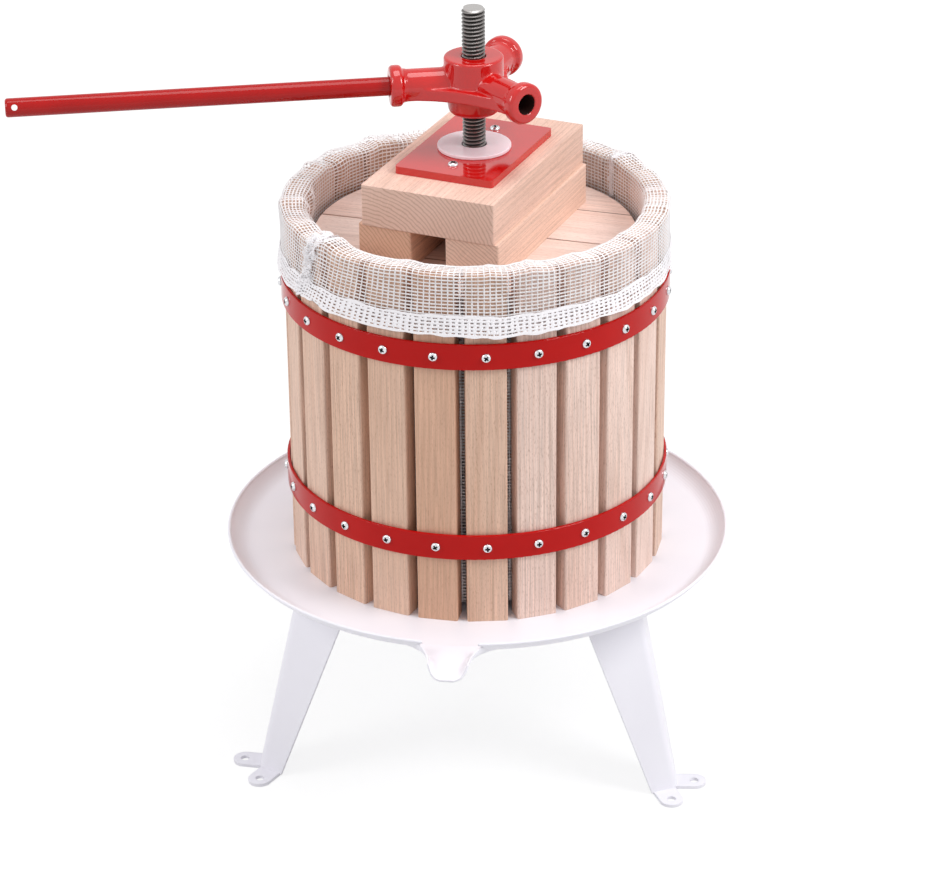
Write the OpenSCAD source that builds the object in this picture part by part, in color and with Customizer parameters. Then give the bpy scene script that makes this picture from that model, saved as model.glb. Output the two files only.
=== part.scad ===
// Basket fruit press: a ring of beech staves on a footed juice tray,
// pressed by a cast handle nut that runs down a fixed screw.
// Millimetres, +Z up. The origin is on the screw axis at floor level.
// The spout points along -Y.

/* [Juice tray] */
// Height of the tray floor above the ground
tray_floor_h = 177; // [150:1:240]
// Radius of the tray at the outside of its rim
tray_rim_r = 203; // [196:0.5:230]
// Depth of the tray from rim to floor
tray_depth = 11; // [9:0.5:18]
// Thickness of the tray sheet
tray_t = 1.5; // [1:0.1:2.5]
// Inner radius of the bend between tray floor and wall
tray_bend_r = 16; // [8:0.5:20]
// Slope of the tray wall above the bend, in degrees
tray_wall_slope = 62; // [55:1:70]
// Radius of the rolled bead on the rim
rim_bead_r = 1.4; // [1:0.1:2.5]

/* [Spout] */
// Length of the spout past the rim
spout_len = 24; // [15:1:40]
// Half width of the spout where it leaves the tray floor
spout_half_w = 60; // [50:1:70]
// Half width of the spout at its lip
spout_lip_half_w = 14; // [10:1:18]
// Height of the side walls at the lip
spout_lip_wall = 8; // [5:0.5:12]
// Drop of the lip below the tray floor
spout_drop = 7.5; // [3:0.5:14]

/* [Legs] */
// Thickness of the leg sheet
leg_t = 2.5; // [2:0.1:4]
// Radius of the leg's fold under the tray
leg_top_r = 155; // [145:1:162]
// Radius of the leg's fold at the ground
leg_foot_r = 197.5; // [180:0.5:205]
// Half width of the leg under the tray
leg_top_half_w = 43.5; // [34:0.5:48]
// Half width of the leg at the ground
leg_foot_half_w = 18; // [15:0.5:24]
// Slope of the two halves of a leg back from the fold, in degrees
leg_fold = 34.5; // [25:0.5:40]
// Outer radius of the fold
leg_bend_r = 7; // [4:0.5:9]
// Distance of the foot holes outward from the leg's halves
foot_hole_out = 14; // [11:0.5:18]
// Radius of a foot hole
foot_hole_r = 3.5; // [2.5:0.1:4.5]
// Radius of the rounded ears around the foot holes
foot_ear_r = 9.5; // [7:0.5:11]
// Radius of the circle that the leg bolts lie on
leg_bolt_r = 96; // [85:1:105]
// Half distance between the two bolts of a leg
leg_bolt_half_gap = 22; // [16:1:30]
// Nominal radius of a leg bolt
leg_bolt_shank_r = 4; // [3:0.5:5]

/* [Screw] */
// Outer radius of the screw
screw_r = 9; // [8:0.5:12]
// Height of the screw top above the ground
screw_top_h = 625; // [600:1:700]
// Chamfer on the screw top
screw_chamfer = 1.5; // [0.5:0.1:3]
// Height of the hex nuts at the foot of the screw
base_nut_h = 15; // [10:0.5:20]
// Width across flats of those nuts
base_nut_af = 27; // [24:0.5:34]
// Radius of the large washer under the tray
base_washer_r = 40; // [30:1:60]
// Thickness of the large washer
base_washer_t = 5; // [3:0.5:8]
// Radius of the small washer above the tray
top_washer_r = 21; // [19:0.5:24]
// Thickness of the small washer
top_washer_t = 3; // [2:0.5:4]

/* [Basket] */
// Number of staves
stave_count = 24; // [20:1:24]
// Distance from the axis to a stave's outer face
stave_out_r = 149.3; // [146:0.1:160]
// Width of a stave
stave_w = 31.5; // [24:0.5:33]
// Thickness of a stave
stave_t = 16; // [14:0.5:20]
// Height of the staves
stave_h = 291; // [285:1:340]
// Radius on the stave edges
stave_edge_r = 1.5; // [0.5:0.1:3]
// Angle of the first stave from the spout, in degrees
basket_turn = 9; // [0:0.5:14]
// Height of a hoop band
hoop_h = 21; // [16:0.5:28]
// Thickness of a hoop band
hoop_t = 2.5; // [1.5:0.1:4]
// Radius on the edges of a hoop band
hoop_edge_r = 0.7; // [0.2:0.1:0.7]
// Height of the lower hoop's bottom edge above the tray floor
lower_hoop_z = 55.5; // [30:0.5:80]
// Height of the upper hoop's bottom edge above the tray floor
upper_hoop_z = 216.5; // [140:0.5:218]
// Radius of a hoop screw's head
hoop_screw_head_r = 3.7; // [3:0.1:5]
// Height of a hoop screw's head
hoop_screw_head_h = 2.4; // [1.5:0.1:3]
// Radius of a hoop screw's shank
hoop_screw_r = 2; // [1.5:0.1:2.5]
// Depth that a hoop screw goes into its stave
hoop_screw_depth = 11; // [8:0.5:13]

/* [Filter bag] */
// Thickness of the bag's solid
bag_t = 1.2; // [0.8:0.1:2]
// Length of the collar folded down over the basket
bag_collar_h = 48; // [30:1:52]
// Height of the bag's bottom above the tray floor
bag_bottom_z = 6; // [5:0.5:10]
// Radius of the opening in the bag's bottom round the screw
bag_hole_r = 26; // [25:0.5:40]

/* [Press stack] */
// Turn of the beams and block from the Y axis, in degrees
stack_turn = -17.5; // [-45:0.5:45]
// Turn of the boards from the beams, in degrees
board_turn = 7; // [-20:1:20]
// Height of the boards' top face above the tray floor
board_top_z = 265; // [240:1:270]
// Radius of the round made by the two boards
board_r = 126; // [110:0.5:127.5]
// Thickness of the boards
board_t = 22; // [16:0.5:30]
// Gap between the two boards
board_gap = 2; // [1:0.5:5]
// Width of a beam
beam_w = 43.5; // [30:0.5:46]
// Height of a beam
beam_h = 31.5; // [26:0.5:45]
// Length of a beam
beam_len = 178; // [150:1:185]
// Gap between the two beams
beam_gap = 28.5; // [22:0.5:35]
// Width of the block
block_w = 109; // [95:1:120]
// Length of the block
block_len = 180; // [150:1:186]
// Thickness of the block
block_t = 32.5; // [24:0.5:36]
// Radius on the wood edges
wood_edge_r = 1.5; // [0.5:0.1:3]
// Width of the steel plate
plate_w = 81; // [72:1:94]
// Length of the steel plate
plate_len = 119; // [110:1:140]
// Thickness of the steel plate
plate_t = 6; // [3:0.5:8]
// Radius on the plate's corners
plate_corner_r = 3; // [1:0.5:8]
// Distance of the plate screws from the axis
plate_screw_y = 40.5; // [36:0.5:48]
// Radius of a plate screw's head
plate_screw_head_r = 4; // [3:0.1:4.5]
// Height of a plate screw's head
plate_screw_head_h = 2.5; // [1.5:0.1:3]
// Radius of a plate screw's shank
plate_screw_r = 2; // [1.5:0.1:2.5]
// Length of a plate screw's shank
plate_screw_len = 20; // [12:1:24]
// Radius of the slip washer
slip_washer_r = 28.5; // [24:0.5:32]
// Thickness of the slip washer
slip_washer_t = 3; // [2:0.5:6]
// Radius on the slip washer's edges
slip_washer_edge_r = 0.8; // [0.2:0.1:0.9]

/* [Handle nut] */
// Turn of the handle arm from the X axis, in degrees
handle_turn = 194; // [180:1:200]
// Height of the nut's bottom above the slip washer
nut_lift = 26; // [5:1:40]
// Height of the nut's hub
nut_h = 45.5; // [38:0.5:56]
// Radius of the hub at its top
nut_hub_r = 23; // [20:0.5:28]
// Radius of the hub at its bottom
nut_foot_r = 20; // [18:0.5:22]
// Radius on the hub's bottom edge
nut_foot_round = 5; // [2:0.5:6]
// Radius on the hub's top edge
nut_top_round = 1.5; // [0.5:0.1:2.5]
// Height of the socket axes above the nut's bottom
socket_z = 24.5; // [20:0.5:28]
// Outer radius of a socket's barrel
socket_r = 12.5; // [11:0.1:13]
// Distance of a socket's mouth from the axis
socket_reach = 65; // [55:0.5:75]
// Outer radius of the collar at a socket's mouth
collar_r = 16; // [14:0.5:17]
// Length of that collar
collar_len = 10; // [8:0.5:14]
// Radius on the collar's edges
collar_round = 3; // [1:0.5:3]
// Fillet between barrel and collar
collar_fillet = 4; // [2:0.5:6]
// Radius of a socket's bore
socket_bore_r = 7.75; // [7.6:0.05:9]
// Depth of a socket's bore
socket_depth = 42; // [30:0.5:43]
// Thickness of the web between the sockets
web_t = 9.5; // [6:0.5:12]
// Distance from the web's middle up to the socket axes
web_drop = 4.5; // [0:0.5:6]
// Distance of the web's edge from the axis, midway between sockets
web_waist_r = 27; // [25:0.5:32]
// Half width of the web where it meets a collar
web_tip_half_w = 10; // [8:0.5:11]

/* [Handle bar] */
// Radius of the handle bar
bar_r = 7.25; // [6:0.05:7.4]
// Length of the handle bar
bar_len = 331; // [250:1:420]
// Gap between the bar's inner end and the bottom of its socket
bar_end_gap = 1; // [0.5:0.5:5]
// Rounding of the bar's ends
bar_end_round = 2; // [0.5:0.5:4]
// Radius of the cross hole near the bar's outer end
bar_hole_r = 2.3; // [1.5:0.1:3]
// Distance of that hole from the bar's end
bar_hole_in = 7; // [5:0.5:15]
// Tilt of that hole from level, in degrees
bar_hole_tilt = 20; // [0:1:45]

/* [Hidden] */
$fn = 64;
// Working clearances, all on the radius
slip = 0.4;
seat = 0.3;
band_gap = 0.1;
drill_gap = 0.15;
wood_gap = 2;
// Overshoot of cutting shapes
cut = 1;
trim = 0.1;
// Proportions of a bolt and its nut, in radii of the shank
bolt_head_ratio = 2.1;
nut_height_ratio = 1.6;
nut_flats_ratio = 3.25;

socket_pitch = 120;
leg_angles = [-150, -30, 90];
leg_names = ["leg_front_left", "leg_front_right", "leg_rear"];
stave_names = [for (i = [1:stave_count]) str("stave_", i < 10 ? "0" : "", i)];

tray_under = tray_floor_h - tray_t;
tray_top = tray_floor_h + tray_depth;
// The wall runs into the middle of the rolled rim
bead_centre = [tray_rim_r - rim_bead_r, tray_top - rim_bead_r];
wall_across = tray_t / sin(tray_wall_slope);
wall_run = (tray_depth - rim_bead_r - tray_bend_r * (1 - cos(tray_wall_slope))) / tan(tray_wall_slope);
floor_r = bead_centre[0] - wall_across / 2 - wall_run - tray_bend_r * sin(tray_wall_slope);
bend_centre = [floor_r, tray_floor_h + tray_bend_r];
bend_end = tray_wall_slope - 90;
spout_reach = tray_rim_r + spout_len;
spout_lip_top = tray_floor_h - spout_drop + spout_lip_wall;
spout_root_bend_r = tray_depth - tray_t;
spout_lip_bend_r = spout_lip_wall - tray_t;
// The spout starts this far inside the edge of the tray floor and this much above it
spout_inset = 6;
spout_lift = 0.4;
spout_root_r = floor_r - spout_inset;
// Share of the spout's length where its round tip starts
spout_tip_t = 0.64;
// Straight runs that the spout, an arc and the rolled rim are made of
spout_runs = 8;
arc_steps = 8;
bead_steps = 20;

// Middle of a leg half's lower edge, as seen along the leg's own direction
leg_half_middle = [leg_foot_r - leg_foot_half_w / 2 * tan(leg_fold), leg_foot_half_w / 2];
leg_flange_half_w = leg_bolt_half_gap + 3 * leg_bolt_shank_r;
leg_flange_in_r = leg_bolt_r - 3 * leg_bolt_shank_r;
leg_bolt_head_r = bolt_head_ratio * leg_bolt_shank_r;
leg_bolt_head_h = leg_bolt_shank_r;
leg_nut_h = nut_height_ratio * leg_bolt_shank_r;
leg_nut_af = nut_flats_ratio * leg_bolt_shank_r;
leg_bolt_under = tray_under - leg_t - leg_nut_h - 2 * slip;

base_washer_z = tray_under - base_washer_t;
base_nut_z = base_washer_z - base_nut_h;
screw_end_z = base_nut_z - screw_r / 2;
top_nut_z = tray_floor_h + top_washer_t;

stave_pitch = 360 / stave_count;
stave_in_r = stave_out_r - stave_t;
stave_corner = [stave_out_r - stave_edge_r, stave_w / 2 - stave_edge_r];
hoop_in_r = norm(stave_corner) + stave_edge_r + band_gap;
hoop_out_r = hoop_in_r + hoop_t;
hoop_mids = [lower_hoop_z + hoop_h / 2, upper_hoop_z + hoop_h / 2];
basket_top = tray_floor_h + stave_h;

bag_out_r = stave_in_r - seat;
bag_collar_r = norm(stave_corner) + stave_edge_r + seat;
bag_top = basket_top + seat + bag_t;

board_z = tray_floor_h + board_top_z - board_t;
beam_z = board_z + board_t;
block_z = beam_z + beam_h;
plate_z = block_z + block_t;
washer_z = plate_z + plate_t;
nut_z = washer_z + slip_washer_t + nut_lift;
wood_bore_r = screw_r + wood_gap;

bar_z = nut_z + socket_z;
socket_end = socket_reach - socket_depth;
bar_start = socket_end + bar_end_gap;
// The web's concave edge is an arc that touches both sockets' webs
web_arc_r = (web_waist_r * sin(socket_pitch / 2) - web_tip_half_w) / (1 - sin(socket_pitch / 2));
web_arc_d = web_waist_r + web_arc_r;

paint_red = "firebrick";
coat_white = "whitesmoke";
beech = "burlywood";
bright_steel = "silver";
dark_steel = "dimgray";
nylon = "lavender";

// Points of an arc, for outlines
function arc(centre, r, from, to, steps = arc_steps) =
    [
        for (i = [0:steps])
            let (turn = from + (to - from) * i / steps)
                centre + r * [cos(turn), sin(turn)]
    ];

// Rectangle about the origin with true round corners
module rounded_rect(w, l, r) {
    square([w - 2 * r, l], center = true);
    square([w, l - 2 * r], center = true);
    for (x = [-1, 1], y = [-1, 1])
        translate([x * (w / 2 - r), y * (l / 2 - r)])
            circle(r);
}

// Pan head on the plane z = 0 with its shank going down
module pan_screw(head_r, head_h, shank_r, shank_len) {
    edge_r = head_h / 2;
    rotate_extrude() {
        square([head_r, edge_r]);
        square([head_r - edge_r, head_h]);
        translate([head_r - edge_r, edge_r])
            intersection() {
                circle(edge_r);
                square(edge_r);
            }
    }
    translate([0, 0, -shank_len])
        cylinder(r = shank_r, h = shank_len + head_h / 2);
}

module hex_nut(af, h, bore_r) {
    difference() {
        cylinder(d = af / cos(30), h = h, $fn = 6);
        translate([0, 0, -cut])
            cylinder(r = bore_r, h = h + 2 * cut);
    }
}

module ring(out_r, in_r, h) {
    difference() {
        cylinder(r = out_r, h = h);
        translate([0, 0, -cut])
            cylinder(r = in_r, h = h + 2 * cut);
    }
}

// Half section of the tray sheet: floor, bend, sloping wall
module tray_section() {
    bead_open = asin(tray_t / 2 / rim_bead_r);
    bead_from = 180 + tray_wall_slope - bead_open;
    bead_to = tray_wall_slope - 180 + bead_open;
    polygon(concat(
        [[0, tray_under], [0, tray_floor_h]],
        arc(bend_centre, tray_bend_r, -90, bend_end),
        arc(bead_centre, rim_bead_r, bead_from, bead_to, bead_steps),
        arc(bend_centre, tray_bend_r + tray_t, bend_end, -90)
    ));
}

// Shape of the spout along its length: t is 0 inside the tray floor and 1 at the lip
function ease(t) = t * t * (3 - 2 * t);
function spout_y(t) = -spout_root_r - (spout_reach - spout_root_r) * t;
function spout_half(t) = spout_lip_half_w + (spout_half_w - spout_lip_half_w) * pow(1 - t, 3);
function spout_low(t) = tray_floor_h + spout_lift - (spout_drop + spout_lift) * t * t;
function spout_high(t) = tray_top + (spout_lip_top - tray_top) * ease(t);
function spout_bend(t) = spout_root_bend_r + (spout_lip_bend_r - spout_root_bend_r) * t;

// Points round the spout at t, grown by a wall: flat floor, rounded corners, open height
function spout_ring(t, wall, lift, past) =
    let (
        half_w = spout_half(t) + wall,
        low = spout_low(t) - wall,
        high = spout_high(t) + lift,
        bend_r = spout_bend(t),
        left = arc([bend_r - half_w, low + bend_r], bend_r, 180, 270),
        right = arc([half_w - bend_r, low + bend_r], bend_r, 270, 360)
    )
    [for (p = concat([[-half_w, high]], left, right, [[half_w, high]])) [p[0], spout_y(t) - past, p[1]]];

// A solid through rings of the same even number of points. A ring goes out along one side
// and back along the other, so strips between the two sides close the ends.
module loft(rings) {
    n = len(rings[0]);
    last = len(rings) - 1;
    strips = [for (k = [0:n / 2 - 2]) [k, k + 1, n - 2 - k, n - 1 - k]];
    polyhedron(
        points = [for (ring = rings) each ring],
        faces = concat(
            strips,
            [for (strip = strips) [for (k = [3:-1:0]) last * n + strip[k]]],
            [for (i = [0:last - 1], k = [0:n - 1]) [i * n + k, (i + 1) * n + k, i * n + (k + 1) % n]],
            [for (i = [1:last], k = [0:n - 1]) [i * n + k, i * n + (k + 1) % n, (i - 1) * n + (k + 1) % n]]
        )
    );
}

// The spout's room grown by a wall, from inside the tray bend to past the lip
module spout_form(wall, lift, past) {
    loft([
        for (i = [0:spout_runs])
            spout_ring(i / spout_runs, wall, lift, i == spout_runs ? past : 0)
    ]);
}

// Outline of the spout from above, with a round tip
module spout_plan() {
    tip_y = spout_y(spout_tip_t);
    translate([0, 0, tray_floor_h - 2 * spout_drop])
        linear_extrude(tray_depth + 4 * spout_drop) {
            translate([0, tip_y])
                circle(spout_half(spout_tip_t) + tray_t + drill_gap);
            translate([-2 * spout_half_w, tip_y])
                square([4 * spout_half_w, spout_reach]);
        }
}

// Half section of the tray's inside, down to the middle of the sheet
module tray_inside() {
    polygon(concat(
        [[0, tray_floor_h - tray_t / 2]],
        arc(bend_centre, tray_bend_r + tray_t / 2, -90, bend_end),
        [bead_centre, bead_centre + [0, tray_depth], [0, tray_top + tray_depth]]
    ));
}

module juice_tray() {
    color(coat_white)
    difference() {
        union() {
            rotate_extrude($fn = 128)
                tray_section();
            difference() {
                intersection() {
                    spout_form(tray_t, 0, trim);
                    spout_plan();
                }
                rotate_extrude($fn = 128)
                    tray_inside();
            }
        }
        spout_form(0, tray_depth, trim);
        translate([0, 0, tray_under - cut])
            cylinder(r = screw_r + slip, h = tray_t + 2 * cut);
        for (a = leg_angles)
            leg_bolt_places(a)
                translate([0, 0, tray_under - cut])
                    cylinder(r = leg_bolt_shank_r + drill_gap, h = tray_t + 2 * cut);
    }
}

module leg_bolt_places(a) {
    rotate(a)
        for (s = [-1, 1])
            translate([leg_bolt_r, s * leg_bolt_half_gap, 0])
                children();
}

// Level outline of a leg sheet folded along its middle, with fold radius r and half width w
function leg_ring(z, r, w) =
    let (
        centre = [r - leg_bend_r / cos(leg_fold), 0],
        side = [cos(leg_fold), sin(leg_fold)],
        flip = [side[0], -side[1]],
        far = [r - w * tan(leg_fold), w],
        near = [far[0], -w],
        outline = concat(
            [near], arc(centre, leg_bend_r, -leg_fold, leg_fold), [far],
            [far - leg_t * side], arc(centre, leg_bend_r - leg_t, leg_fold, -leg_fold), [near - leg_t * flip]
        )
    )
    [for (p = outline) [p[0], p[1], z]];

// Flange under the tray, as far as the middle of the folded sheet
module leg_flange_outline() {
    end_w = min(leg_flange_half_w, leg_top_half_w - leg_t);
    end_r = leg_top_r - leg_t / 2 / cos(leg_fold) - end_w * tan(leg_fold);
    polygon([
        [leg_flange_in_r, -leg_flange_half_w],
        [end_r, -end_w],
        [leg_top_r - leg_bend_r / cos(leg_fold) + leg_bend_r - leg_t / 2, 0],
        [end_r, end_w],
        [leg_flange_in_r, leg_flange_half_w]
    ]);
}

// One foot tab, bent out from the lower edge of a leg half, with a round ear and a hole
module leg_tab_outline() {
    difference() {
        union() {
            translate([-leg_t / 2, -foot_ear_r])
                square([leg_t / 2 + foot_hole_out, 2 * foot_ear_r]);
            translate([foot_hole_out, 0])
                circle(foot_ear_r);
        }
        translate([foot_hole_out, 0])
            circle(foot_hole_r);
    }
}

module leg(a) {
    color(coat_white)
    rotate(a) {
        difference() {
            union() {
                loft([
                    leg_ring(leg_t / 2, leg_foot_r, leg_foot_half_w),
                    leg_ring(tray_under - leg_t / 2, leg_top_r, leg_top_half_w)
                ]);
                translate([0, 0, tray_under - leg_t])
                    linear_extrude(leg_t)
                        leg_flange_outline();
            }
            rotate(-a)
                leg_bolt_places(a)
                    translate([0, 0, tray_under - leg_t - cut])
                        cylinder(r = leg_bolt_shank_r + drill_gap, h = leg_t + 2 * cut);
        }
        for (s = [-1, 1])
            translate([leg_half_middle[0], s * leg_half_middle[1], 0])
                rotate(s * leg_fold)
                    linear_extrude(leg_t)
                        leg_tab_outline();
    }
}

module leg_bolts() {
    color(bright_steel)
    for (a = leg_angles)
        leg_bolt_places(a)
            translate([0, 0, tray_floor_h])
                pan_screw(leg_bolt_head_r, leg_bolt_head_h, leg_bolt_shank_r, tray_floor_h - leg_bolt_under);
}

module leg_nuts() {
    color(bright_steel)
    for (a = leg_angles)
        leg_bolt_places(a)
            translate([0, 0, tray_under - leg_t - leg_nut_h])
                hex_nut(leg_nut_af, leg_nut_h, leg_bolt_shank_r + drill_gap);
}

// The fixed screw, with a chamfered top
module screw_spindle() {
    color(dark_steel)
    rotate_extrude()
        polygon([
            [0, screw_end_z], [screw_r, screw_end_z],
            [screw_r, screw_top_h - screw_chamfer], [screw_r - screw_chamfer, screw_top_h],
            [0, screw_top_h]
        ]);
}

module spindle_base_washer() {
    color(bright_steel)
    translate([0, 0, base_washer_z])
        ring(base_washer_r, screw_r + slip, base_washer_t);
}

module spindle_base_nut() {
    color(bright_steel)
    translate([0, 0, base_nut_z])
        hex_nut(base_nut_af, base_nut_h, screw_r + drill_gap);
}

module spindle_top_washer() {
    color(bright_steel)
    translate([0, 0, tray_floor_h])
        ring(top_washer_r, screw_r + slip, top_washer_t);
}

module spindle_top_nut() {
    color(bright_steel)
    translate([0, 0, top_nut_z])
        hex_nut(base_nut_af, base_nut_h, screw_r + drill_gap);
}

// Frame of stave number i, with its outer face square to +X
module at_stave(i) {
    rotate(basket_turn - 90 + i * stave_pitch)
        children();
}

module stave(i) {
    color(beech)
    at_stave(i)
        difference() {
            translate([stave_out_r - stave_t / 2, 0, tray_floor_h])
                linear_extrude(stave_h)
                    rounded_rect(stave_t, stave_w, stave_edge_r);
            for (z = hoop_mids)
                translate([stave_out_r - hoop_screw_depth - drill_gap, 0, tray_floor_h + z])
                    rotate([0, 90, 0])
                        cylinder(r = hoop_screw_r + drill_gap, h = hoop_screw_depth + cut);
        }
}

// Flat steel band round the staves, drilled for one screw a stave
module hoop(z) {
    color(paint_red)
    translate([0, 0, tray_floor_h + z])
        difference() {
            rotate_extrude($fn = 128)
                translate([hoop_in_r + hoop_t / 2, hoop_h / 2])
                    rounded_rect(hoop_t, hoop_h, hoop_edge_r);
            for (i = [0:stave_count - 1])
                at_stave(i)
                    translate([hoop_in_r - cut, 0, hoop_h / 2])
                        rotate([0, 90, 0])
                            cylinder(r = hoop_screw_r + drill_gap, h = hoop_t + 2 * cut);
        }
}

module hoop_screws(z) {
    color(bright_steel)
    for (i = [0:stave_count - 1])
        at_stave(i)
            translate([hoop_out_r, 0, tray_floor_h + z])
                rotate([0, 90, 0])
                    pan_screw(hoop_screw_head_r, hoop_screw_head_h, hoop_screw_r,
                        hoop_out_r - stave_out_r + hoop_screw_depth);
}

// Net bag: bottom, lining and the collar folded over the staves
module filter_bag() {
    bottom = tray_floor_h + bag_bottom_z;
    color(coat_white)
    rotate_extrude($fn = 128) {
        translate([bag_hole_r, bottom])
            square([bag_out_r - bag_hole_r, bag_t]);
        translate([bag_out_r - bag_t, bottom])
            square([bag_t, bag_top - bottom]);
        translate([bag_out_r - bag_t, bag_top - bag_t])
            square([bag_collar_r + 2 * bag_t - bag_out_r, bag_t]);
        translate([bag_collar_r, bag_top - bag_collar_h])
            square([bag_t, bag_collar_h]);
    }
}

// Half of the round pressing board, notched for the screw
module press_board(side) {
    color(beech)
    rotate(stack_turn + board_turn)
        translate([0, 0, board_z])
            linear_extrude(board_t)
                difference() {
                    circle(board_r, $fn = 128);
                    circle(wood_bore_r);
                    translate([-2 * board_r, side > 0 ? -4 * board_r + board_gap / 2 : -board_gap / 2])
                        square(4 * board_r);
                }
}

module cross_beam(side) {
    color(beech)
    rotate(stack_turn)
        translate([side * (beam_gap + beam_w) / 2, 0, beam_z])
            linear_extrude(beam_h)
                rounded_rect(beam_w, beam_len, wood_edge_r);
}

module plate_screw_places() {
    rotate(stack_turn)
        for (s = [-1, 1])
            translate([0, s * plate_screw_y, 0])
                children();
}

module pressure_block() {
    color(beech)
    difference() {
        rotate(stack_turn)
            translate([0, 0, block_z])
                linear_extrude(block_t)
                    rounded_rect(block_w, block_len, wood_edge_r);
        translate([0, 0, block_z - cut])
            cylinder(r = wood_bore_r, h = block_t + 2 * cut);
        plate_screw_places()
            translate([0, 0, washer_z - plate_screw_len - drill_gap])
                cylinder(r = plate_screw_r + drill_gap, h = plate_screw_len);
    }
}

module pressure_plate() {
    color(paint_red)
    difference() {
        rotate(stack_turn)
            translate([0, 0, plate_z])
                linear_extrude(plate_t)
                    rounded_rect(plate_w, plate_len, plate_corner_r);
        translate([0, 0, plate_z - cut])
            cylinder(r = wood_bore_r, h = plate_t + 2 * cut);
        plate_screw_places()
            translate([0, 0, plate_z - cut])
                cylinder(r = plate_screw_r + drill_gap, h = plate_t + 2 * cut);
    }
}

module plate_screws() {
    color(bright_steel)
    plate_screw_places()
        translate([0, 0, washer_z])
            pan_screw(plate_screw_head_r, plate_screw_head_h, plate_screw_r, plate_screw_len);
}

module slip_washer() {
    color(nylon)
    translate([0, 0, washer_z + slip_washer_t / 2])
        rotate_extrude()
            translate([(slip_washer_r + screw_r + slip) / 2, 0])
                rounded_rect(slip_washer_r - screw_r - slip, slip_washer_t, slip_washer_edge_r);
}

// Hub of the nut: slightly tapered below, rounded at both ends
module nut_hub() {
    top_centre = [nut_hub_r - nut_top_round, nut_h - nut_top_round];
    foot_centre = [nut_foot_r - nut_foot_round, nut_foot_round];
    rotate_extrude()
        polygon(concat(
            [[0, 0]],
            arc(foot_centre, nut_foot_round, -90, 0),
            [[nut_hub_r, socket_z]],
            arc(top_centre, nut_top_round, 0, 90, 4),
            [[0, nut_h]]
        ));
}

// Outside of a socket along +X: barrel, fillet and rounded collar
module socket_form() {
    collar_x = socket_reach - collar_len;
    rotate([0, 90, 0])
        rotate_extrude() {
            square([socket_r, socket_reach - collar_round]);
            translate([0, collar_x + collar_len / 2])
                mirror([0, 1])
                    difference() {
                        square([collar_r - collar_round, collar_len / 2 + collar_fillet]);
                        translate([socket_r + collar_fillet, collar_len / 2 + collar_fillet])
                            circle(collar_fillet);
                    }
            translate([0, collar_x])
                square([collar_r - collar_round, collar_len]);
            translate([0, collar_x + collar_round])
                square([collar_r, collar_len - 2 * collar_round]);
            for (y = [collar_x + collar_round, socket_reach - collar_round])
                translate([collar_r - collar_round, y])
                    circle(collar_round);
        }
}

// Three-armed web whose edges sweep from socket to socket
module nut_web() {
    linear_extrude(web_t)
        difference() {
            circle(socket_reach - collar_len / 2);
            for (k = [0:2])
                rotate(socket_pitch * (k + 0.5))
                    translate([web_arc_d, 0])
                        circle(web_arc_r, $fn = 128);
        }
}

// Cast handle nut with three open sockets round a threaded hub
module handle_nut() {
    color(paint_red)
    rotate(handle_turn)
        translate([0, 0, nut_z])
            difference() {
                union() {
                    nut_hub();
                    translate([0, 0, socket_z - web_drop - web_t / 2])
                        nut_web();
                    for (k = [0:2])
                        rotate(socket_pitch * k)
                            translate([0, 0, socket_z])
                                socket_form();
                }
                translate([0, 0, -cut])
                    cylinder(r = screw_r + slip, h = nut_h + 2 * cut);
                for (k = [0:2])
                    rotate(socket_pitch * k)
                        translate([socket_end, 0, socket_z])
                            rotate([0, 90, 0])
                                cylinder(r = socket_bore_r, h = socket_depth + cut);
            }
}

// Loose bar pushed into one socket, with a cross hole near its far end
module handle_bar() {
    color(paint_red)
    rotate(handle_turn)
        translate([bar_start, 0, bar_z])
            rotate([0, 90, 0])
                difference() {
                    rotate_extrude()
                        polygon(concat(
                            [[0, 0]],
                            arc([bar_r - bar_end_round, bar_end_round], bar_end_round, -90, 0, 4),
                            arc([bar_r - bar_end_round, bar_len - bar_end_round], bar_end_round, 0, 90, 4),
                            [[0, bar_len]]
                        ));
                    translate([0, 0, bar_len - bar_hole_in])
                        rotate([90, 0, 0])
                            rotate([0, bar_hole_tilt, 0])
                                cylinder(r = bar_hole_r, h = 4 * bar_r, center = true);
                }
}

juice_tray();
for (k = [0:2])
    leg(leg_angles[k]);
leg_bolts();
leg_nuts();
screw_spindle();
spindle_base_washer();
spindle_base_nut();
spindle_top_washer();
spindle_top_nut();
for (i = [0:stave_count - 1])
    stave(i);
hoop(lower_hoop_z);  // lower_hoop
hoop(upper_hoop_z);  // upper_hoop
hoop_screws(hoop_mids[0]);  // lower_hoop_screws
hoop_screws(hoop_mids[1]);  // upper_hoop_screws
filter_bag();
press_board(-1);  // press_board_front
press_board(1);  // press_board_rear
cross_beam(-1);  // cross_beam_left
cross_beam(1);  // cross_beam_right
pressure_block();
pressure_plate();
plate_screws();
slip_washer();
handle_nut();
handle_bar();
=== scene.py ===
import math
import random

import bmesh
import bpy
import numpy as np
from mathutils import Matrix, Vector


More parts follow.
